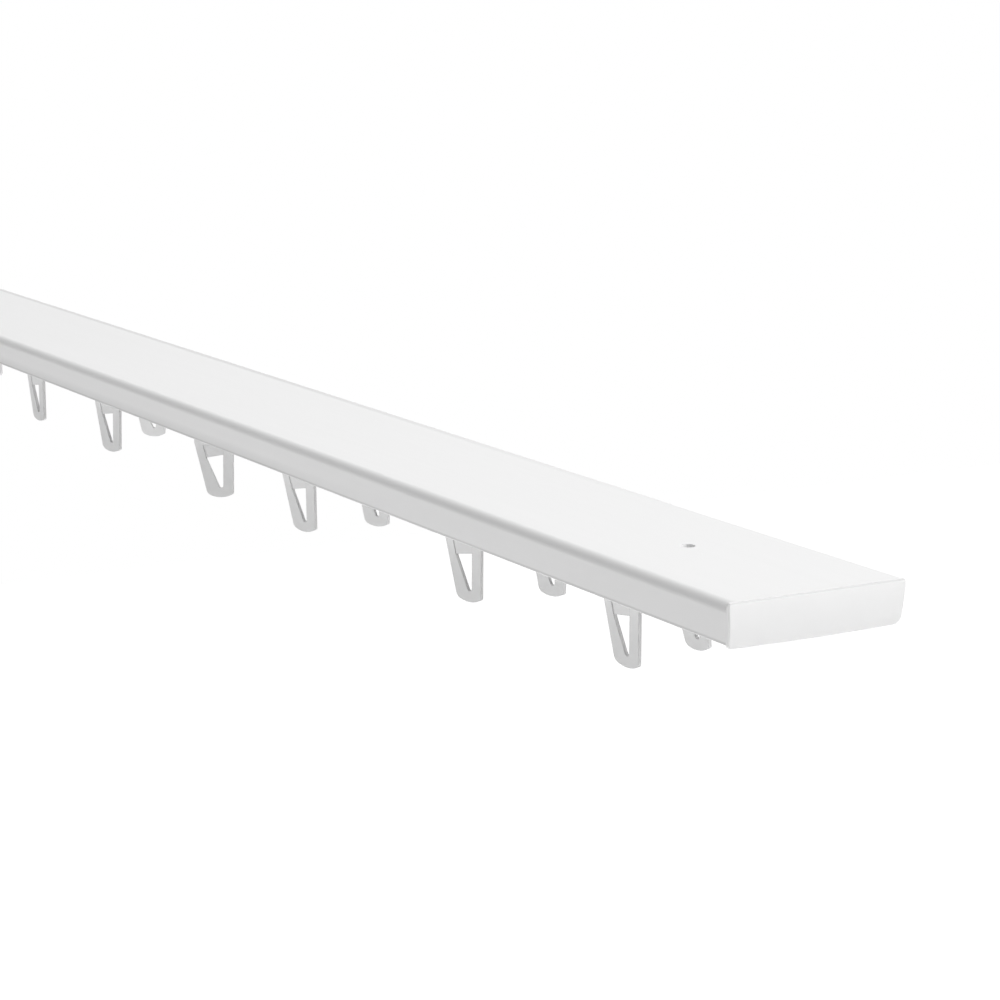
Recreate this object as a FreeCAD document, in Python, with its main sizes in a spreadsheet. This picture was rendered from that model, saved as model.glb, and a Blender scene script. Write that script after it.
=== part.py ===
import FreeCAD, Part
import math
import os
import Sketcher

# A two-row ceiling track for curtains: one extruded profile, an end cap at each end and two rows of gliders.
# Millimetres. The origin is the middle of the top face, +X runs to the right end, +Y to the far side, +Z up.

# Driving sizes: name, value, meaning
SIZES = [
    ("track_length", 1500.0, "outer face of one end cap to the other"),
    ("track_width", 60.0, "near side to far side, at the top"),
    ("track_height", 12.0, "top face to underside of the profile"),
    ("far_lean", 1.8, "how far the far side leans in at the bottom"),
    ("wall", 1.4, "outer walls of the profile"),
    ("rib", 1.3, "walls of the running channels"),
    ("lip", 1.3, "thickness of the lips that carry the gliders"),
    ("top_round", 3.0, "radius of the near top edge"),
    ("far_top_round", 1.2, "radius of the far top edge"),
    ("bottom_round", 0.5, "radius of the two long bottom edges"),
    ("row_offset", 14.2, "centre line of the track to the slot of each row"),
    ("channel_width", 13.0, "inner width of a running channel"),
    ("slot_width", 4.4, "slot between the lips"),
    ("screw_bore", 4.5, "screw hole in the top wall"),
    ("screw_inset", 65.0, "outer face of a cap to the first screw hole"),
    ("cap_plate", 1.4, "thickness of an end cap's plate"),
    ("cap_drop", 0.9, "how far a cap reaches below the profile at its sides"),
    ("cap_bow", 0.35, "how far its lower edge bows down in the middle"),
    ("cap_far_round", 3.0, "radius of its lower far corner"),
    ("cap_near_round", 1.3, "radius of its lower near corner"),
    ("cap_top_round", 0.8, "radius of its upper corners"),
    ("cap_near_bevel", 0.4, "bevel down the near edge of its outer face"),
    ("cap_dome", 0.35, "how far the middle of its outer face stands proud of its upper and lower edges"),
    ("plug_length", 10.0, "reach of a cap's plugs into the channels"),
    ("plug_clearance", 0.15, "gap between a plug and its channel"),
    ("plug_lead", 1.0, "chamfer at a plug's nose"),
    ("head_long", 9.4, "length of a glider's running head"),
    ("head_wide", 6.8, "width of the running head"),
    ("head_high", 2.6, "height of the running head"),
    ("head_corner", 1.6, "chamfer at the head's corners"),
    ("seat_gap", 0.6, "running gap between the head and the lips"),
    ("neck_clearance", 0.7, "gap each side of the neck in its slot, when it is turned square across it"),
    ("neck_gap", 1.2, "underside of the profile to the shoulders of the plate"),
    ("neck_root", 0.6, "reach of the neck into the head"),
    ("neck_foot", 5.4, "width of the plate's shoulders at the neck"),
    ("plate_thick", 1.3, "thickness of the plate with the eye"),
    ("shoulder_drop", 3.6, "underside of the profile to the upper corners of the plate"),
    ("plate_drop", 26.1, "underside of the profile to the foot of the plate"),
    ("plate_left", 8.7, "neck to the plate's slanted side, at its upper corner"),
    ("plate_right", 7.0, "neck to the plate's upright side"),
    ("foot_width", 10.2, "width of the plate where its foot begins"),
    ("foot_high", 1.4, "height of the rounded foot"),
    ("shoulder_round", 1.6, "radius of the upper corners"),
    ("heel_round", 2.8, "radius of the foot's corner on the slanted side"),
    ("toe_round", 1.0, "radius of the foot's corner on the upright side"),
    ("eye_top", 10.9, "underside of the profile to the top of the eye"),
    ("eye_rise", 1.3, "how much higher the eye's top is beside the upright leg"),
    ("eye_sill", 3.7, "foot of the plate to the tip of the eye"),
    ("leg_upright", 3.9, "width of the upright leg"),
    ("leg_slanted", 3.1, "width of the slanted leg, along the track"),
    ("eye_tip", 1.5, "width of the eye at its tip"),
    ("eye_round", 0.7, "radius of the eye's corners"),
    ("web_depth", 0.3, "depth of the recess above the eye, each side"),
    ("web_high", 4.8, "height of that recess"),
]

# Gliders of a row: distance of the neck from the right end in thousandths of the track's length, then in
# degrees how far the glider is turned in its slot, leans along the track and swings across it
FRONT_GLIDERS = [
    (51.6, 12, 4.5, 4.5), (115.5, 21, 2, 2), (198.0, 23, 1.7, 3), (247.7, 52, -0.3, -4.8), (320.6, 20, 2, 0),
    (378.3, 6, 2, 1), (436.7, 18, 0, 1), (498.7, 24, 1, 0), (561.3, 15, 2, -2), (634.0, -8, -1, 0),
    (693.3, 20, 0, 2), (753.3, 26, 2, 0), (815.3, 12, 1, -1), (887.3, 35, -2, 0), (949.3, 17, 1, 1),
]
BACK_GLIDERS = [
    (57.4, 10, -2.4, 4.6), (111.5, 22, 2, 0), (195.5, 28, 1, -1), (336.9, 46, 1, 0), (466.7, -6, -1, 0),
    (514.7, 19, 2, -2), (574.0, 28, 1, 0), (632.0, 15, 0, 1), (701.3, 21, -2, 0), (759.3, 10, 2, 0),
    (823.3, 24, 1, -1), (881.3, 18, 0, 0), (944.7, 27, 1, 2),
]


def make_sheet(doc):
    """Puts every driving size in a cell with a name of its own."""
    sheet = doc.addObject("Spreadsheet::Sheet", "Sizes")
    rows = list(SIZES)
    for row, gliders in (("front", FRONT_GLIDERS), ("back", BACK_GLIDERS)):
        for number, (place, turn, lean, swing) in enumerate(gliders, start=1):
            rows.append((f"{row}_place_{number:02d}", place, "right end to its neck, a share of the length"))
            rows.append((f"{row}_turn_{number:02d}", turn, "its turn in the slot"))
            rows.append((f"{row}_lean_{number:02d}", lean, "its lean along its own plate"))
            rows.append((f"{row}_swing_{number:02d}", swing, "its swing across its own plate"))
    for cell, (name, value, meaning) in enumerate(rows, start=1):
        sheet.set(f"A{cell}", meaning)
        sheet.set(f"B{cell}", str(value))
        sheet.setAlias(f"B{cell}", name)
    doc.recompute()
    return sheet


def origin_plane(body, role):
    return next(item for item in body.Origin.OriginFeatures if item.Role == role)


def sketch_on(body, name, role, offset=None):
    """Adds a sketch on one of the body's own planes, moved off it by an expression if one is given."""
    sketch = body.newObject("Sketcher::SketchObject", name)
    sketch.AttachmentSupport = [(origin_plane(body, role), "")]
    sketch.MapMode = "FlatFace"
    if offset:
        sketch.setExpression("AttachmentOffset.Base.z", offset)
    return sketch


def hold(sketch, line, end, across, up):
    """Ties one end of a line to two expressions."""
    point = sketch.getPoint(line, end)
    for kind, value, size in (("DistanceX", point.x, across), ("DistanceY", point.y, up)):
        index = sketch.addConstraint(Sketcher.Constraint(kind, -1, 1, line, end, value))
        sketch.setExpression(f"Constraints[{index}]", size)


def outline(sketch, corners, bow=None):
    """Draws a closed outline, each corner given by two expressions.

    bow is (side, across, up): that side is an arc through the point that the two expressions give.
    """
    first = sketch.GeometryCount
    count = len(corners)
    angles = [2 * math.pi * (index + 0.3) / count for index in range(count)]
    spots = [FreeCAD.Vector(math.cos(angle), math.sin(angle), 0) for angle in angles]
    for index in range(count):
        sketch.addGeometry(Part.LineSegment(spots[index], spots[(index + 1) % count]))
    for index in range(count):
        following = first + (index + 1) % count
        sketch.addConstraint(Sketcher.Constraint("Coincident", first + index, 2, following, 1))
    for index, (across, up) in enumerate(corners):
        hold(sketch, first + index, 1, across, up)
    if bow:
        side, across, up = bow
        chord = first + side
        crown = sketch.addGeometry(Part.Point(FreeCAD.Vector(0.5, 0.5, 0)), True)
        hold(sketch, crown, 1, across, up)
        sketch.Document.recompute()
        sketch.toggleConstruction(chord)
        start, end = sketch.getPoint(chord, 1), sketch.getPoint(chord, 2)
        arc = sketch.addGeometry(Part.Arc(start, sketch.getPoint(crown, 1), end))
        first, second = sketch.getPoint(arc, 1), sketch.getPoint(arc, 2)
        same_way = first.distanceToPoint(start) < second.distanceToPoint(start)
        for arc_end, line_end in ((1, 1), (2, 2)) if same_way else ((1, 2), (2, 1)):
            sketch.addConstraint(Sketcher.Constraint("Coincident", arc, arc_end, chord, line_end))
        sketch.addConstraint(Sketcher.Constraint("PointOnObject", crown, 1, arc))


def feature(body, kind, name, **settings):
    """Adds a feature to a body, with its sizes bound to expressions."""
    made = body.newObject(kind, name)
    for key, value in settings.items():
        if isinstance(value, str) and key in ("Length", "Radius", "Size", "Diameter"):
            made.setExpression(key, value)
        else:
            setattr(made, key, value)
    return made


def edges_where(shape, test):
    """Names the edges of a shape that pass a test."""
    return [f"Edge{index}" for index, edge in enumerate(shape.Edges, start=1) if test(edge)]


def runs_along(edge, axis):
    """True for a straight edge along 0 X, 1 Y or 2 Z."""
    if not isinstance(edge.Curve, Part.Line):
        return False
    direction = edge.Curve.Direction
    return abs(abs(direction[axis]) - 1) < 1e-6


def near(value, target):
    return abs(value - target) < 1e-4


def stands_at(spots):
    """A test for the edges that run across a plate at one of the given places, as (x, z)."""
    def test(edge):
        place = edge.CenterOfMass
        return runs_along(edge, 1) and any(near(place.x, x) and near(place.z, z) for x, z in spots)
    return test


def cut(body, name, sketch, depth, midplane=False, reversed_way=False):
    """Cuts a pocket and makes sure that it removes something."""
    body.Document.recompute()
    before = body.Shape.Volume
    pocket = feature(body, "PartDesign::Pocket", name, Profile=sketch, Length=depth,
                     Midplane=midplane, Reversed=reversed_way)
    body.Document.recompute()
    if not pocket.Shape.Volume < before - 1e-3:
        raise RuntimeError(f"{name} cuts nothing")
    return pocket


def track_profile(doc, sheet):
    """The extruded section with its two channels, and the screw holes on its centre line."""
    body = doc.addObject("PartDesign::Body", "track_profile")
    body.Label = "track_profile"
    section = sketch_on(body, "section", "YZ_Plane")
    half, floor = "Sizes.track_width / 2", "-Sizes.track_height"
    trough = "(Sizes.row_offset - Sizes.channel_width / 2 - Sizes.rib)"
    slot_in = "(Sizes.row_offset - Sizes.slot_width / 2)"
    slot_out = "(Sizes.row_offset + Sizes.slot_width / 2)"
    channel_in = "(Sizes.row_offset - Sizes.channel_width / 2)"
    channel_out = "(Sizes.row_offset + Sizes.channel_width / 2)"
    ceiling, lip_top = "-Sizes.wall", "-Sizes.track_height + Sizes.lip"
    right = [
        (slot_out, floor), (slot_out, lip_top), (channel_out, lip_top), (channel_out, ceiling),
        (channel_in, ceiling), (channel_in, lip_top), (slot_in, lip_top), (slot_in, floor),
        (trough, floor), (trough, ceiling),
    ]
    left = [(f"-{across}", up) for across, up in reversed(right)]
    outline(section, [(half, "0"), (f"{half} - Sizes.far_lean", floor)] + right + left
            + [(f"-{half}", floor), (f"-{half}", "0")])
    feature(body, "PartDesign::Pad", "extrusion", Profile=section, Midplane=True,
            Length="Sizes.track_length - 2 * Sizes.cap_plate")

    # The closed chambers beside the channels
    chamber = sketch_on(body, "chambers", "YZ_Plane")
    lean_in = "Sizes.far_lean * (Sizes.track_height - Sizes.wall) / Sizes.track_height"
    lean_top = "Sizes.far_lean * Sizes.wall / Sizes.track_height"
    outline(chamber, [
        (f"{channel_out} + Sizes.rib", ceiling), (f"{channel_out} + Sizes.rib", lip_top),
        (f"{half} - Sizes.wall - {lean_in}", lip_top), (f"{half} - Sizes.wall - {lean_top}", ceiling)])
    outline(chamber, [
        (f"-{channel_out} - Sizes.rib", ceiling), (f"-{half} + Sizes.wall", ceiling),
        (f"-{half} + Sizes.wall", lip_top), (f"-{channel_out} - Sizes.rib", lip_top)])
    hollow = cut(body, "hollow", chamber, "Sizes.track_length", midplane=True)

    width, drop = sheet.get("track_width"), sheet.get("track_height")
    lean = sheet.get("far_lean")

    def long_edge(across, up):
        def test(edge):
            place = edge.CenterOfMass
            return runs_along(edge, 0) and near(place.y, across) and near(place.z, up)
        return test

    rounds = [
        ("top_round", "Sizes.top_round", long_edge(-width / 2, 0)),
        ("far_top_round", "Sizes.far_top_round", long_edge(width / 2, 0)),
        ("bottom_round", "Sizes.bottom_round", long_edge(-width / 2, -drop)),
        ("far_bottom_round", "Sizes.bottom_round", long_edge(width / 2 - lean, -drop)),
    ]
    last = hollow
    for title, radius, test in rounds:
        last = feature(body, "PartDesign::Fillet", title, Radius=radius,
                       Base=(last, edges_where(last.Shape, test)))
        doc.recompute()

    # Three screw holes: one near each end and one in the middle
    holes = sketch_on(body, "screw_holes", "XY_Plane")
    reach = "Sizes.track_length / 2 - Sizes.screw_inset"
    for index, across in enumerate((f"-({reach})", "0", reach)):
        spot = FreeCAD.Vector((index - 1) * 20, 0, 0)
        holes.addGeometry(Part.Circle(spot, FreeCAD.Vector(0, 0, 1), 2))
        diameter = holes.addConstraint(Sketcher.Constraint("Diameter", index, 4))
        holes.setExpression(f"Constraints[{diameter}]", "Sizes.screw_bore")
        if index == 1:
            holes.addConstraint(Sketcher.Constraint("Coincident", index, 3, -1, 1))
        else:
            hold(holes, index, 3, across, "0")
    cut(body, "screw_bores", holes, "2 * Sizes.track_height", midplane=True)
    return body


def end_cap(doc, sheet, name, side):
    """A plate that closes the section, with two plugs. side is 1 at the right end and -1 at the left."""
    body = doc.addObject("PartDesign::Body", name)
    body.Label = name
    half = "Sizes.track_width / 2"
    face = f"{side} * (Sizes.track_length / 2 - Sizes.cap_plate)"
    plate = sketch_on(body, "plate_outline", "YZ_Plane", face)
    edge = "-(Sizes.track_height + Sizes.cap_drop)"
    outline(plate, [
        (half, "0"), (f"{half} - Sizes.far_lean", edge), (f"-{half}", edge), (f"-{half}", "0")],
        bow=(1, "0", f"{edge} - Sizes.cap_bow"))
    pad = feature(body, "PartDesign::Pad", "plate", Profile=plate, Reversed=side < 0,
                  Length="Sizes.cap_plate + Sizes.cap_dome")
    doc.recompute()

    width, lean = sheet.get("track_width"), sheet.get("far_lean")
    low = -(sheet.get("track_height") + sheet.get("cap_drop"))

    def corner(across, up):
        def test(item):
            place = item.CenterOfMass
            return runs_along(item, 0) and near(place.y, across) and near(place.z, up)
        return test

    rounds = [
        ("far_round", "Sizes.cap_far_round", corner(width / 2 - lean, low)),
        ("near_round", "Sizes.cap_near_round", corner(-width / 2, low)),
        ("top_far_round", "Sizes.cap_top_round", corner(width / 2, 0)),
        ("top_near_round", "Sizes.cap_top_round", corner(-width / 2, 0)),
    ]
    last = pad
    for title, radius, test in rounds:
        last = feature(body, "PartDesign::Fillet", title, Radius=radius,
                       Base=(last, edges_where(last.Shape, test)))
        doc.recompute()

    # The outer face is gently domed from top to bottom, with a bevel down its near edge
    dome = sketch_on(body, "dome_outline", "XZ_Plane")
    outer = f"{side} * Sizes.track_length / 2"
    edge_face = f"{side} * (Sizes.track_length / 2 - Sizes.cap_dome)"
    beyond = f"{side} * (Sizes.track_length / 2 + Sizes.cap_plate)"
    above, below = "Sizes.cap_bow", f"({edge} - 2 * Sizes.cap_bow)"
    outline(dome, [(edge_face, above), (edge_face, below), (beyond, below), (beyond, above)],
            bow=(0, outer, f"({above} + {below}) / 2"))
    domed = cut(body, "dome", dome, "2 * Sizes.track_width", midplane=True)
    inner = sheet.get("track_length") / 2 - sheet.get("cap_plate")

    half_width = sheet.get("track_width") / 2

    def down_the_near_side(item):
        place = item.BoundBox
        on_the_side = near(place.YMin, -half_width) and near(place.YMax, -half_width)
        return on_the_side and not runs_along(item, 0) and abs(item.CenterOfMass.x) > inner + 0.1

    feature(body, "PartDesign::Chamfer", "near_bevel", Size="Sizes.cap_near_bevel",
            Base=(domed, edges_where(domed.Shape, down_the_near_side)))
    doc.recompute()

    # The plugs that hold the cap and stop the gliders
    plugs = sketch_on(body, "plug_outlines", "YZ_Plane", face)
    gap = "Sizes.plug_clearance"
    for sign in ("", "-"):
        inner = f"{sign}(Sizes.row_offset - Sizes.channel_width / 2 + {gap})"
        outer_side = f"{sign}(Sizes.row_offset + Sizes.channel_width / 2 - {gap})"
        roof, base = f"-Sizes.wall - {gap}", f"-Sizes.track_height + Sizes.lip + {gap}"
        outline(plugs, [(inner, roof), (inner, base), (outer_side, base), (outer_side, roof)])
    plug = feature(body, "PartDesign::Pad", "plugs", Profile=plugs, Length="Sizes.plug_length",
                   Reversed=side > 0)
    doc.recompute()
    nose = side * (sheet.get("track_length") / 2 - sheet.get("cap_plate") - sheet.get("plug_length"))
    feature(body, "PartDesign::Chamfer", "plug_leads", Size="Sizes.plug_lead", Base=(plug, edges_where(
        plug.Shape, lambda item: near(item.BoundBox.XMin, nose) and near(item.BoundBox.XMax, nose))))
    doc.recompute()
    return body


def glider_pattern(doc, sheet):
    """One glider, its head's underside at the origin: head, neck and a plate with a V-shaped eye."""
    body = doc.addObject("PartDesign::Body", "glider_pattern")
    head_outline = sketch_on(body, "head_outline", "XY_Plane")
    long_half, wide_half = "Sizes.head_long / 2", "Sizes.head_wide / 2"
    outline(head_outline, [(f"-{long_half}", f"-{wide_half}"), (long_half, f"-{wide_half}"),
                           (long_half, wide_half), (f"-{long_half}", wide_half)])
    head = feature(body, "PartDesign::Pad", "head", Profile=head_outline, Length="Sizes.head_high")
    doc.recompute()
    feature(body, "PartDesign::Chamfer", "head_corners", Size="Sizes.head_corner", Base=(
        head, edges_where(head.Shape, lambda item: runs_along(item, 2))))

    # Heights are measured from the underside of the profile
    under = "(-Sizes.lip - Sizes.seat_gap)"
    foot, corner = f"({under} - Sizes.plate_drop)", f"({under} - Sizes.shoulder_drop)"
    neck = "(Sizes.slot_width / 2 - Sizes.neck_clearance)"
    plate = sketch_on(body, "plate_outline", "XZ_Plane")
    outline(plate, [
        (f"-{neck}", "Sizes.neck_root"), (f"-{neck}", f"{under} - Sizes.neck_gap"),
        ("-Sizes.neck_foot / 2", f"{under} - Sizes.neck_gap"), ("-Sizes.plate_left", corner),
        ("Sizes.plate_right - Sizes.foot_width", f"{foot} + Sizes.foot_high"),
        ("Sizes.plate_right", f"{foot} + Sizes.foot_high"),
        ("Sizes.plate_right", corner), ("Sizes.neck_foot / 2", f"{under} - Sizes.neck_gap"),
        (neck, f"{under} - Sizes.neck_gap"), (neck, "Sizes.neck_root")],
        bow=(4, "Sizes.plate_right - Sizes.foot_width / 2", foot))
    last = feature(body, "PartDesign::Pad", "plate", Profile=plate, Midplane=True,
                   Length="Sizes.plate_thick")
    doc.recompute()
    level = -sheet.get("lip") - sheet.get("seat_gap")
    shoulder_level = level - sheet.get("shoulder_drop")
    foot_level = level - sheet.get("plate_drop") + sheet.get("foot_high")
    left, right = -sheet.get("plate_left"), sheet.get("plate_right")
    rounds = [
        ("shoulder_rounds", "Sizes.shoulder_round", [(left, shoulder_level), (right, shoulder_level)]),
        ("heel", "Sizes.heel_round", [(right - sheet.get("foot_width"), foot_level)]),
        ("toe", "Sizes.toe_round", [(right, foot_level)]),
    ]
    for name, radius, spots in rounds:
        last = feature(body, "PartDesign::Fillet", name, Radius=radius,
                       Base=(last, edges_where(last.Shape, stands_at(spots))))
        doc.recompute()

    # The recess on each side of the web, between the legs
    eye_top = f"({under} - Sizes.eye_top)"
    eye_right = "(Sizes.plate_right - Sizes.leg_upright)"
    slope = ("(Sizes.plate_left + Sizes.plate_right - Sizes.foot_width)"
             " / (Sizes.plate_drop - Sizes.foot_high - Sizes.shoulder_drop)")
    leg_inside = "(-Sizes.plate_left + Sizes.leg_slanted)"
    left_at_eye = f"{leg_inside} + {slope} * (Sizes.eye_top - Sizes.shoulder_drop)"
    left_at_web = f"{leg_inside} + {slope} * (Sizes.eye_top - Sizes.web_high - Sizes.shoulder_drop)"
    for name, side in (("web_near", 1), ("web_far", -1)):
        recess_outline = sketch_on(body, f"{name}_outline", "XZ_Plane", f"{side} * Sizes.plate_thick / 2")
        outline(recess_outline, [
            (left_at_web, f"{eye_top} + Sizes.web_high"), (left_at_eye, eye_top),
            (eye_right, f"{eye_top} + Sizes.eye_rise"), (eye_right, f"{eye_top} + Sizes.web_high")])
        last = cut(body, name, recess_outline, "Sizes.web_depth", reversed_way=side < 0)

    eye_outline = sketch_on(body, "eye_outline", "XZ_Plane")
    tip = f"{foot} + Sizes.eye_sill"
    outline(eye_outline, [
        (left_at_eye, eye_top), (f"{eye_right} - Sizes.eye_tip", tip), (eye_right, tip),
        (eye_right, f"{eye_top} + Sizes.eye_rise")])
    last = cut(body, "eye", eye_outline, "4 * Sizes.plate_thick", midplane=True)
    tip_level = level - sheet.get("plate_drop") + sheet.get("eye_sill")
    tip_right = right - sheet.get("leg_upright")
    spots = [(tip_right, tip_level), (tip_right - sheet.get("eye_tip"), tip_level)]
    feature(body, "PartDesign::Fillet", "eye_rounds", Radius="Sizes.eye_round",
            Base=(last, edges_where(last.Shape, stands_at(spots))))
    doc.recompute()
    return body


def glider(doc, pattern, row, number, side):
    """A copy of the pattern in its slot. side is -1 for the front row, 1 for the back."""
    name = f"glider_{row}_{number:02d}"
    body = doc.addObject("PartDesign::Body", name)
    body.BaseFeature = pattern
    body.Label = name
    place = f"Sizes.track_length * (0.5 - Sizes.{row}_place_{number:02d} / 1000)"
    seat = "-Sizes.track_height + Sizes.lip + Sizes.seat_gap"
    turn, lean, swing = (f"Sizes.{row}_{word}_{number:02d}" for word in ("turn", "lean", "swing"))
    body.setExpression("Placement", f"placement(vector({place}; {side} * Sizes.row_offset; {seat});"
                                    f" rotation({turn}; {lean}; {swing}))")
    return body


def check(doc, pieces):
    """Stops if any object failed or any piece isn't one sound solid."""
    for item in doc.Objects:
        if "Invalid" in item.State or "Error" in item.State:
            raise RuntimeError(f"{item.Name} failed: {item.State}")
    for piece in pieces:
        shape = piece.Shape
        if shape.isNull() or not shape.isValid() or len(shape.Solids) != 1:
            raise RuntimeError(f"{piece.Label} is not one sound solid")


def main():
    doc = FreeCAD.newDocument("curtain_track")
    sheet = make_sheet(doc)
    pieces = [track_profile(doc, sheet)]
    pieces.append(end_cap(doc, sheet, "end_cap_right", 1))
    pieces.append(end_cap(doc, sheet, "end_cap_left", -1))
    pattern = glider_pattern(doc, sheet)
    for row, gliders, side in (("front", FRONT_GLIDERS, -1), ("back", BACK_GLIDERS, 1)):
        for number in range(1, len(gliders) + 1):
            pieces.append(glider(doc, pattern, row, number, side))
    doc.recompute()
    check(doc, pieces)
    os.makedirs("parts", exist_ok=True)
    for piece in pieces:
        piece.Shape.exportStep(f"parts/{piece.Label}.step")


main()
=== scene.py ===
import bpy
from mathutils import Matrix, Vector


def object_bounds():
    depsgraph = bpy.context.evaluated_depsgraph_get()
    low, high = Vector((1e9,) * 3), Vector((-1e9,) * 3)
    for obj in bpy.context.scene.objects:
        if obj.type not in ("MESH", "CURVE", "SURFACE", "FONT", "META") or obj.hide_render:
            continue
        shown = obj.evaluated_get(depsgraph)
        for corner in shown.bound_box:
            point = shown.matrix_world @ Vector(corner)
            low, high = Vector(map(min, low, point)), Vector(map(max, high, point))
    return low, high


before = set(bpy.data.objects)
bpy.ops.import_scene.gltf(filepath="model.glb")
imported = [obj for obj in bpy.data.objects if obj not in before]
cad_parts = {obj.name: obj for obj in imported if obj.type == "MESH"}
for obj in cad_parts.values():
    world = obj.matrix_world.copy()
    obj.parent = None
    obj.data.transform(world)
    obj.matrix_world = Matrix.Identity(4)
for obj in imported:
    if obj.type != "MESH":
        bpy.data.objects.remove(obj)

bl_info = {
    "name": "Two-row curtain track",
    "version": (1, 0, 0),
    "blender": (4, 5, 0),
    "location": "View3D > Sidebar > Curtain Track",
    "description": "Finishes a ceiling curtain track, its end caps and its gliders, "
                   "and lights them in a plain studio",
    "category": "Object",
}

MILLIMETRE = 0.001
MODEL_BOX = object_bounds()
WHITE = (1, 1, 1, 1)

# Pieces
PROFILE = "track_profile"
CAPS = ("end_cap_right", "end_cap_left")
GLIDERS = sorted(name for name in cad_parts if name.startswith("glider_"))

# Profile: its surface
STREAK_STRETCH, STREAK_SCALE = (1.5, 90, 90), 5.0
HAZE_STRETCH, HAZE_SCALE = (3, 12, 12), 2.5
PROFILE_ROUGHNESS, PROFILE_ROUGHNESS_SPREAD = 0.42, 0.06
RIPPLE_HEIGHT, RIPPLE_STRENGTH = 0.02 * MILLIMETRE, 0.25

# Profile: its bands of painted shade, each from where it begins to where it is full
PROFILE_FOOT = min(corner[2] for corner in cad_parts[PROFILE].bound_box)
PROFILE_FAR = max(corner[1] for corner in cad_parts[PROFILE].bound_box)
SIDE_BAND = (4.2 * MILLIMETRE, 0.3 * MILLIMETRE)  # heights over the foot
FAR_BAND = (4.4 * MILLIMETRE, 3.2 * MILLIMETRE)  # distances from the far side
SIDE_FADE = (0.55, 0.45)  # places along the track, from the right end toward the left
FAR_FADE = (0.65, 0.35)

# Caps and gliders: their surface
CLOUD_SCALE = 140.0
GRAIN_SCALE, GRAIN_ROUGHNESS, GRAIN_STRENGTH = 1600.0, 0.6, 0.3
MOULDED_ROUGHNESS_SPREAD = 0.05
CAP_MOTTLE, CAP_ROUGHNESS = 0.015, 0.45
GLIDER_MOTTLE, GLIDER_ROUGHNESS = 0.03, 0.5
# Where the caps' upper bevel gets its painted shade
CAP_BEVEL_TILT = (0.3, 0.45)  # the share of X times the share of Z in where the bevel faces
# Mask of the gliders' painted shade along their edges
EDGE_SAMPLES = 6
EDGE_MATCH = (0.995, 0.88)  # how well rounded and real faces agree, on flats and on edges

# Studio: sizes and places in metres
FLOOR_HALF_WIDTH = 5.0
FLOOR_LIFT = 0.84
OVERHEAD_LAMP = {"place": (1.9, 1.6, 4.3), "target": (0.4, 0, 0), "size": 1.6}
LOW_LAMP = {"place": (0.6, -1.15, -1.15), "target": (0.5, 0, 0), "size": 0.9}
END_LAMP = {"place": (2.9, 1.0, 0.5), "target": (0.75, 0, 0), "size": 1.2}
CAMERA_FROM_NEAR_CORNER = Vector((0.5885, -0.4077, 0.1755))
CAMERA_VIEW = Vector((-0.8499, 0.4868, -0.2020))
SENSOR_WIDTH = 36  # in millimetres


# Nodes of a material

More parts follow.
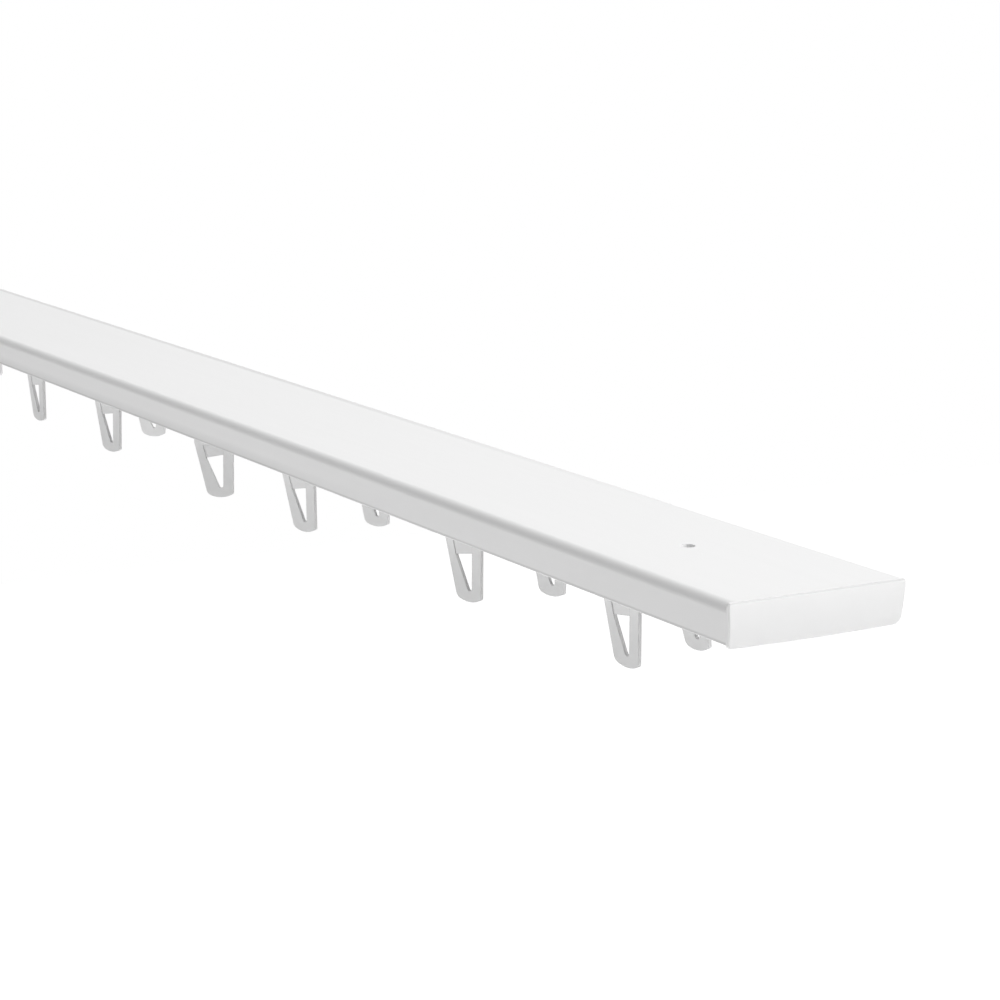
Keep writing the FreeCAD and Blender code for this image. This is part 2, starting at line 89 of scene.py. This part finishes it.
class Finish:
    """A material being built, with short ways to add and join its nodes."""

    def __init__(self, name):
        self.material = bpy.data.materials.new(name)
        self.material.use_nodes = True
        self.nodes = self.material.node_tree.nodes
        self.links = self.material.node_tree.links
        self.nodes.clear()
        self.output = self.nodes.new("ShaderNodeOutputMaterial")

    def add(self, kind, **sockets):
        node = self.nodes.new(kind)
        for name, value in sockets.items():
            node.inputs[name.replace("_", " ")].default_value = value
        return node

    def join(self, start, end):
        self.links.new(start, end)

    def plastic(self, roughness):
        shader = self.add("ShaderNodeBsdfPrincipled", Roughness=roughness)
        self.join(shader.outputs["BSDF"], self.output.inputs["Surface"])
        return shader

    def pattern(self, scale, stretch=(1, 1, 1), detail=2.0, roughness=0.5):
        """Noise laid over the piece, stretched by three factors."""
        place = self.add("ShaderNodeTexCoord")
        mapping = self.add("ShaderNodeMapping", Scale=stretch)
        noise = self.add("ShaderNodeTexNoise", Scale=scale, Detail=detail, Roughness=roughness)
        self.join(place.outputs["Object"], mapping.inputs["Vector"])
        self.join(mapping.outputs["Vector"], noise.inputs["Vector"])
        return noise.outputs["Fac"]

    def shades(self, factor, dark, light, dark_until=0.3, light_from=0.7):
        """Two shades of a colour, spread by a factor."""
        ramp = self.add("ShaderNodeValToRGB")
        ramp.color_ramp.elements[0].position = dark_until
        ramp.color_ramp.elements[1].position = light_from
        ramp.color_ramp.elements[0].color = (*dark, 1)
        ramp.color_ramp.elements[1].color = (*light, 1)
        self.join(factor, ramp.inputs["Fac"])
        return ramp.outputs["Color"]

    def darken(self, factor, tone, amount):
        """The tone, darker by an amount where the factor is 1."""
        mix = self.add("ShaderNodeMixRGB")
        mix.blend_type = "MULTIPLY"
        mix.inputs["Color2"].default_value = (1 - amount, 1 - amount, 1 - amount, 1)
        self.join(factor, mix.inputs["Fac"])
        self.join(tone, mix.inputs["Color1"])
        return mix.outputs["Color"]

    def vary_roughness(self, shader, factor, middle, spread):
        """Roughness on both sides of a middle value, spread by a factor."""
        span = self.add("ShaderNodeMapRange", To_Min=middle - spread, To_Max=middle + spread)
        self.join(factor, span.inputs["Value"])
        self.join(span.outputs["Result"], shader.inputs["Roughness"])

    def relief(self, factor, shader, height, strength):
        bump = self.add("ShaderNodeBump", Strength=strength, Distance=height)
        self.join(factor, bump.inputs["Height"])
        self.join(bump.outputs["Normal"], shader.inputs["Normal"])

    def along(self, kind):
        """X, Y and Z of a point on the piece (Object) or of the way that it faces (Normal)."""
        place = self.add("ShaderNodeTexCoord")
        parts = self.add("ShaderNodeSeparateXYZ")
        self.join(place.outputs[kind], parts.inputs["Vector"])
        return parts.outputs

    def ramped(self, value, none, full):
        """0 at one value and before it, 1 at the other and beyond it."""
        span = self.add("ShaderNodeMapRange", From_Min=none, From_Max=full)
        self.join(value, span.inputs["Value"])
        return span.outputs["Result"]

    def times(self, first, second):
        product = self.add("ShaderNodeMath")
        product.operation = "MULTIPLY"
        self.join(first, product.inputs[0])
        self.join(second, product.inputs[1])
        return product.outputs[0]

    def size_of(self, value):
        unsigned = self.add("ShaderNodeMath")
        unsigned.operation = "ABSOLUTE"
        self.join(value, unsigned.inputs[0])
        return unsigned.outputs[0]

    def edges(self, width):
        """Mask of painted shade: 1 along sharp edges, 0 on flats."""
        rounded = self.add("ShaderNodeBevel", Radius=width)
        rounded.samples = EDGE_SAMPLES
        flat = self.add("ShaderNodeNewGeometry")
        match = self.add("ShaderNodeVectorMath")
        match.operation = "DOT_PRODUCT"
        self.join(rounded.outputs["Normal"], match.inputs[0])
        self.join(flat.outputs["Normal"], match.inputs[1])
        return self.ramped(match.outputs["Value"], *EDGE_MATCH)

    def upper_end_bevel(self, none, full):
        """Mask of painted shade: 1 where a cap faces out along the track and up at once."""
        way = self.along("Normal")
        return self.ramped(self.times(self.size_of(way["X"]), way["Z"]), none, full)

    def side_band(self, none, full):
        """Mask of painted shade: 1 on the profile's sides at the foot, 0 above it."""
        height = self.ramped(self.along("Object")["Z"], PROFILE_FOOT + none, PROFILE_FOOT + full)
        return self.times(self.size_of(self.along("Normal")["Y"]), height)

    def far_band(self, none, full):
        """Mask of painted shade: 1 on the profile's top face along its far edge."""
        reach = self.ramped(self.along("Object")["Y"], PROFILE_FAR - none, PROFILE_FAR - full)
        return self.times(reach, self.along("Normal")["Z"])

    def toward_left(self, factor, none, full):
        """The factor, gone toward the right end."""
        return self.times(factor, self.ramped(self.along("Object")["X"], none, full))


def darker(colour, amount):
    return tuple(part * (1 - amount) for part in colour)


def extruded_plastic(colour, mottle, foot_height, foot_painted_shade, far_painted_shade, side_painted_shade):
    """White extruded plastic: faint streaks, a soft sheen, a light ripple, three bands of painted
    shade.
    """
    finish = Finish("extruded_white")
    shader = finish.plastic(PROFILE_ROUGHNESS)
    streaks = finish.pattern(STREAK_SCALE, STREAK_STRETCH, detail=3.0)
    haze = finish.pattern(HAZE_SCALE, HAZE_STRETCH)
    # Painted shade: the profile's lower edge is darkened in its colour.
    foot = finish.side_band(foot_height, foot_height / 2)
    # Painted shade: the sides darken toward the foot, less toward the right end.
    side = finish.toward_left(finish.side_band(*SIDE_BAND), *SIDE_FADE)
    # Painted shade: the top face darkens along its far edge, less toward the right end.
    far_edge = finish.toward_left(finish.far_band(*FAR_BAND), *FAR_FADE)
    tone = finish.shades(streaks, darker(colour, mottle), colour)
    for band, shade in ((foot, foot_painted_shade), (side, side_painted_shade), (far_edge, far_painted_shade)):
        tone = finish.darken(band, tone, shade)
    finish.join(tone, shader.inputs["Base Color"])
    finish.vary_roughness(shader, haze, PROFILE_ROUGHNESS, PROFILE_ROUGHNESS_SPREAD)
    finish.relief(streaks, shader, RIPPLE_HEIGHT, RIPPLE_STRENGTH)
    return finish.material


def moulded_plastic(finish, colour, mottle, roughness, grain, shaded, amount):
    """White moulded plastic: a fine even grain, a slight cloudiness and a part darkened by painted
    shade.
    """
    shader = finish.plastic(roughness)
    cloud = finish.pattern(CLOUD_SCALE)
    texture = finish.pattern(GRAIN_SCALE, roughness=GRAIN_ROUGHNESS)
    tone = finish.shades(cloud, darker(colour, mottle), colour)
    finish.join(finish.darken(shaded, tone, amount), shader.inputs["Base Color"])
    finish.vary_roughness(shader, cloud, roughness, MOULDED_ROUGHNESS_SPREAD)
    finish.relief(texture, shader, grain, GRAIN_STRENGTH)
    return finish.material


def wear(piece, material):
    piece.data.materials.clear()
    piece.data.materials.append(material)


# What a user can change

class TrackFinish(bpy.types.PropertyGroup):
    """Colours, painted shade on edges and sides, and grain of the track's pieces."""
    profile_colour: bpy.props.FloatVectorProperty(
        name="Profile colour", description="Colour of the extruded profile",
        subtype="COLOR", size=3, min=0, max=1, default=(0.9, 0.9, 0.9))
    cap_colour: bpy.props.FloatVectorProperty(
        name="Cap colour", description="Colour of the end caps",
        subtype="COLOR", size=3, min=0, max=1, default=(0.9, 0.9, 0.9))
    glider_colour: bpy.props.FloatVectorProperty(
        name="Glider colour", description="Colour of the gliders",
        subtype="COLOR", size=3, min=0, max=1, default=(0.72, 0.72, 0.72))
    streaks: bpy.props.FloatProperty(
        name="Streaks", description="How much darker the profile's streaks are",
        subtype="FACTOR", min=0, max=1, default=0.01)
    # Painted shade along the profile's lower edge: how far up it reaches, then how strong it is.
    foot_height: bpy.props.FloatProperty(
        name="Foot height", description="How far up the profile's darker lower edge reaches",
        unit="LENGTH", subtype="DISTANCE", min=0, max=0.003, default=1.2 * MILLIMETRE)
    foot_painted_shade: bpy.props.FloatProperty(
        name="Foot shade", description="How much darker the profile's lower edge is",
        subtype="FACTOR", min=0, max=1, default=0.27)
    # Painted shade along the far top edge, fading toward the right end.
    far_painted_shade: bpy.props.FloatProperty(
        name="Far edge shade",
        description="How much darker the profile's far top edge gets, away from the right end",
        subtype="FACTOR", min=0, max=1, default=0.17)
    # Painted shade on the sides toward the foot, fading toward the right end.
    side_painted_shade: bpy.props.FloatProperty(
        name="Side shade",
        description="How much darker the sides get toward the foot, away from the right end",
        subtype="FACTOR", min=0, max=1, default=0.17)
    # Painted shade along the gliders' edges: how far it reaches, then how strong it is.
    glider_edge: bpy.props.FloatProperty(
        name="Glider edge",
        description="How far the gliders' darker edges reach into their faces",
        unit="LENGTH", subtype="DISTANCE", min=0, max=0.003, default=0.4 * MILLIMETRE)
    glider_edge_painted_shade: bpy.props.FloatProperty(
        name="Glider edge shade", description="How much darker the gliders' edges are",
        subtype="FACTOR", min=0, max=1, default=0.2)
    # Painted shade on the caps' upper bevel, in place of the lamps' bright line there.
    cap_top_painted_shade: bpy.props.FloatProperty(
        name="Cap top edge shade", description="How much darker the upper bevel of a cap is",
        subtype="FACTOR", min=0, max=1, default=0.32)
    cap_grain: bpy.props.FloatProperty(
        name="Cap grain", description="Height of the fine grain on the caps",
        unit="LENGTH", subtype="DISTANCE", min=0, max=0.001, default=0.01 * MILLIMETRE)
    glider_grain: bpy.props.FloatProperty(
        name="Glider grain", description="Height of the fine grain on the gliders",
        unit="LENGTH", subtype="DISTANCE", min=0, max=0.001, default=0.01 * MILLIMETRE)


class StudioPlan(bpy.types.PropertyGroup):
    """Floor, lamps, room and camera."""
    floor_drop: bpy.props.FloatProperty(
        name="Floor drop", description="Height of the track's top face over the floor",
        unit="LENGTH", subtype="DISTANCE", default=1.4)
    floor_colour: bpy.props.FloatVectorProperty(
        name="Floor colour", description="Colour of the floor",
        subtype="COLOR", size=3, min=0, max=1, default=(0.85, 0.85, 0.85))
    overhead_power: bpy.props.FloatProperty(
        name="Overhead lamp", description="Power of the lamp above and behind",
        unit="POWER", default=166)
    low_power: bpy.props.FloatProperty(
        name="Low lamp", description="Power of the lamp in front, below the track",
        unit="POWER", default=15)
    end_power: bpy.props.FloatProperty(
        name="End lamp", description="Power of the lamp beyond the right end",
        unit="POWER", default=25)
    room_light: bpy.props.FloatProperty(
        name="Room light", description="Strength of the even light from all round",
        min=0, default=0.235)
    lens: bpy.props.FloatProperty(
        name="Lens", description="Focal length of the camera", unit="CAMERA", default=98.9)


# Steps

class TRACK_OT_profile(bpy.types.Operator):
    """Gives the extruded profile its satin white finish"""
    bl_idname = "curtain_track.profile"
    bl_label = "Finish the Profile"

    def execute(self, context):
        look = context.scene.track_finish
        profile_white = extruded_plastic(
            tuple(look.profile_colour), look.streaks, look.foot_height,
            look.foot_painted_shade, look.far_painted_shade, look.side_painted_shade)
        wear(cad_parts[PROFILE], profile_white)
        return {"FINISHED"}


class TRACK_OT_end_caps(bpy.types.Operator):
    """Gives both end caps their moulded finish"""
    bl_idname = "curtain_track.end_caps"
    bl_label = "Finish the End Caps"

    def execute(self, context):
        look = context.scene.track_finish
        finish = Finish("cap_white")
        # The caps' upper bevel gets painted shade.
        cap_white = moulded_plastic(
            finish, tuple(look.cap_colour), CAP_MOTTLE, CAP_ROUGHNESS, look.cap_grain,
            finish.upper_end_bevel(*CAP_BEVEL_TILT), look.cap_top_painted_shade)
        for name in CAPS:
            wear(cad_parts[name], cap_white)
        return {"FINISHED"}


class TRACK_OT_gliders(bpy.types.Operator):
    """Gives the gliders their moulded finish"""
    bl_idname = "curtain_track.gliders"
    bl_label = "Finish the Gliders"

    def execute(self, context):
        look = context.scene.track_finish
        finish = Finish("glider_white")
        # The gliders' edges get painted shade, as dark outlines.
        glider_white = moulded_plastic(
            finish, tuple(look.glider_colour), GLIDER_MOTTLE, GLIDER_ROUGHNESS, look.glider_grain,
            finish.edges(look.glider_edge), look.glider_edge_painted_shade)
        for name in GLIDERS:
            wear(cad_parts[name], glider_white)
        return {"FINISHED"}


def lamp(name, place, target, size, power):
    """A square soft lamp that points at a target and doesn't show itself."""
    light = bpy.data.lights.new(name, "AREA")
    light.shape = "SQUARE"
    light.size = size
    light.energy = power
    holder = bpy.data.objects.new(name, light)
    holder.location = place
    holder.rotation_euler = (Vector(target) - Vector(place)).to_track_quat("-Z", "Y").to_euler()
    holder.visible_camera = False
    bpy.context.scene.collection.objects.link(holder)


def seen_directly(nodes, links):
    """1 for what the camera, a reflection or clear plastic shows, 0 for light on things."""
    path = nodes.new("ShaderNodeLightPath")
    seen = path.outputs["Is Camera Ray"]
    for kind in ("Is Glossy Ray", "Is Transmission Ray"):
        either = nodes.new("ShaderNodeMath")
        either.operation = "MAXIMUM"
        links.new(seen, either.inputs[0])
        links.new(path.outputs[kind], either.inputs[1])
        seen = either.outputs[0]
    return seen


def floor_finish(colour):
    """Pale floor, clear from below; what shows of it is lifted to white, with its shadows kept."""
    finish = Finish("pale_floor")
    matt = finish.add("ShaderNodeBsdfDiffuse", Color=(*colour, 1))
    glow = finish.add("ShaderNodeEmission", Color=WHITE, Strength=FLOOR_LIFT)
    lifted = finish.add("ShaderNodeAddShader")
    top = finish.add("ShaderNodeMixShader")
    clear = finish.add("ShaderNodeBsdfTransparent")
    side = finish.add("ShaderNodeNewGeometry")
    faces = finish.add("ShaderNodeMixShader")
    finish.join(matt.outputs["BSDF"], lifted.inputs[0])
    finish.join(glow.outputs["Emission"], lifted.inputs[1])
    finish.join(seen_directly(finish.nodes, finish.links), top.inputs["Fac"])
    finish.join(matt.outputs["BSDF"], top.inputs[1])
    finish.join(lifted.outputs["Shader"], top.inputs[2])
    finish.join(side.outputs["Backfacing"], faces.inputs["Fac"])
    finish.join(top.outputs["Shader"], faces.inputs[1])
    finish.join(clear.outputs["BSDF"], faces.inputs[2])
    finish.join(faces.outputs["Shader"], finish.output.inputs["Surface"])
    return finish.material


def lay_floor(scene, drop, colour):
    """A square floor below the track."""
    mesh = bpy.data.meshes.new("floor")
    far, level = FLOOR_HALF_WIDTH, -drop
    corners = [(-far, -far, level), (far, -far, level), (far, far, level), (-far, far, level)]
    mesh.from_pydata(corners, [], [(0, 1, 2, 3)])
    floor = bpy.data.objects.new("floor", mesh)
    floor.data.materials.append(floor_finish(colour))
    scene.collection.objects.link(floor)


def white_room(scene, strength):
    """A dim even room that the camera and reflections see as white."""
    room = bpy.data.worlds.new("white_room")
    room.use_nodes = True
    nodes, links = room.node_tree.nodes, room.node_tree.links
    nodes.clear()
    output = nodes.new("ShaderNodeOutputWorld")
    dim, white = nodes.new("ShaderNodeBackground"), nodes.new("ShaderNodeBackground")
    dim.inputs["Color"].default_value = WHITE
    dim.inputs["Strength"].default_value = strength
    white.inputs["Color"].default_value = WHITE
    white.inputs["Strength"].default_value = 1.0
    mix = nodes.new("ShaderNodeMixShader")
    links.new(seen_directly(nodes, links), mix.inputs["Fac"])
    links.new(dim.outputs["Background"], mix.inputs[1])
    links.new(white.outputs["Background"], mix.inputs[2])
    links.new(mix.outputs["Shader"], output.inputs["Surface"])
    scene.world = room


def place_camera(scene, lens):
    """The camera, placed from the track's upper front corner at the right end."""
    low, high = MODEL_BOX
    camera = bpy.data.objects.new("camera", bpy.data.cameras.new("camera"))
    camera.data.lens = lens
    camera.data.sensor_width = SENSOR_WIDTH
    camera.location = Vector((high.x, low.y, 0)) + CAMERA_FROM_NEAR_CORNER
    camera.rotation_euler = CAMERA_VIEW.to_track_quat("-Z", "Y").to_euler()
    scene.collection.objects.link(camera)
    scene.camera = camera


class TRACK_OT_studio(bpy.types.Operator):
    """Lays the floor and sets up the lamps, the room and the camera"""
    bl_idname = "curtain_track.studio"
    bl_label = "Set Up the Studio"

    def execute(self, context):
        scene = context.scene
        plan = scene.studio_plan
        lay_floor(scene, plan.floor_drop, tuple(plan.floor_colour))
        lamp("overhead_lamp", power=plan.overhead_power, **OVERHEAD_LAMP)
        lamp("low_lamp", power=plan.low_power, **LOW_LAMP)
        lamp("end_lamp", power=plan.end_power, **END_LAMP)
        white_room(scene, plan.room_light)
        place_camera(scene, plan.lens)
        scene.view_settings.view_transform = "Standard"
        return {"FINISHED"}


class TRACK_PT_panel(bpy.types.Panel):
    """Lists the steps and what can be changed"""
    bl_idname = "TRACK_PT_panel"
    bl_label = "Curtain Track"
    bl_space_type = "VIEW_3D"
    bl_region_type = "UI"
    bl_category = "Curtain Track"

    def draw(self, context):
        for group, names in ((context.scene.track_finish, TrackFinish.__annotations__),
                             (context.scene.studio_plan, StudioPlan.__annotations__)):
            for name in names:
                self.layout.prop(group, name)
        for step in STEPS:
            self.layout.operator(step.bl_idname)


STEPS = (TRACK_OT_profile, TRACK_OT_end_caps, TRACK_OT_gliders, TRACK_OT_studio)
CLASSES = (TrackFinish, StudioPlan, *STEPS, TRACK_PT_panel)


def register():
    for item in CLASSES:
        bpy.utils.register_class(item)
    bpy.types.Scene.track_finish = bpy.props.PointerProperty(type=TrackFinish)
    bpy.types.Scene.studio_plan = bpy.props.PointerProperty(type=StudioPlan)


def unregister():
    del bpy.types.Scene.studio_plan
    del bpy.types.Scene.track_finish
    for item in reversed(CLASSES):
        bpy.utils.unregister_class(item)


def main():
    register()
    bpy.ops.curtain_track.profile()
    bpy.ops.curtain_track.end_caps()
    bpy.ops.curtain_track.gliders()
    bpy.ops.curtain_track.studio()


if __name__ == "__main__":
    main()
